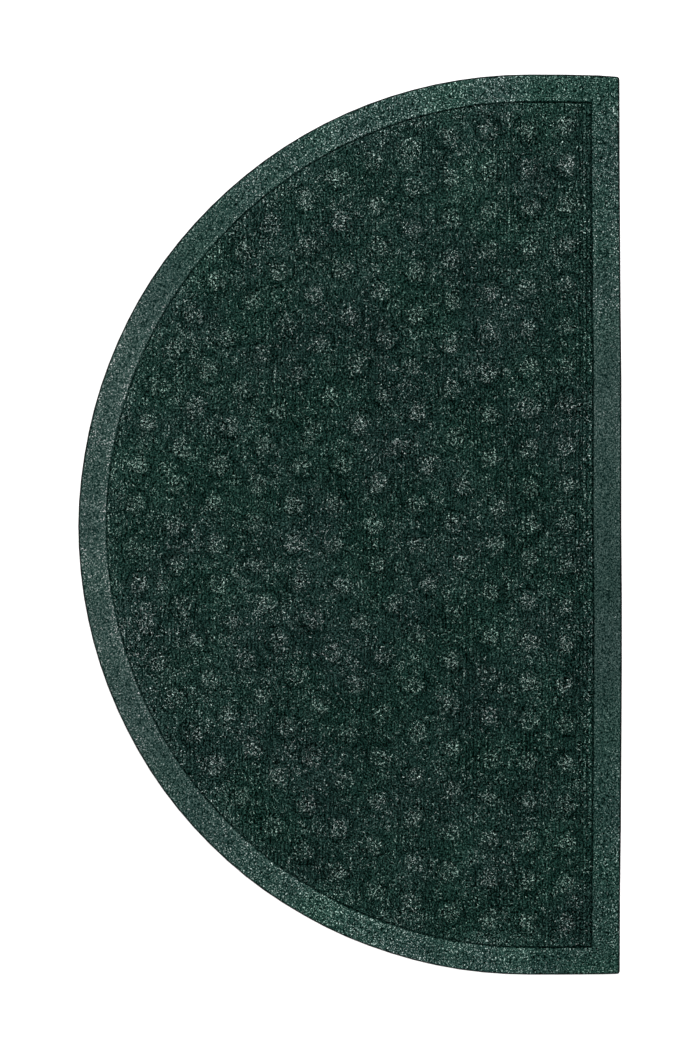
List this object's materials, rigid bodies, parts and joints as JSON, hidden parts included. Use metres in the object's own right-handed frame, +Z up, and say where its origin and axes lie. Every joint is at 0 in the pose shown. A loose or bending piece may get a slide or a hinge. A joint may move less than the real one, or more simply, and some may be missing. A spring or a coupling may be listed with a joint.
{
  "type": "doormat",
  "caption": "Half-round doormat: ribbed felt face with raised round dots inside a flat pressed border, on a thin rubber backing.",
  "frame": {"origin": "middle of the mat's box, on the floor", "axes": "+X along the straight side, +Y across the mat towards the straight side, the rounded side faces -Y, +Z up"},
  "size_m": [0.9906, 0.5982, 0.0096],
  "materials": {
    "felt": "dark green heathered needle felt, matt, pressed smoother on the border",
    "rubber": "matt black rubber"
  },
  "bodies": {
    "root": {"carpet_face": "felt", "rubber_backing": "rubber"}
  },
  "joints": []
}
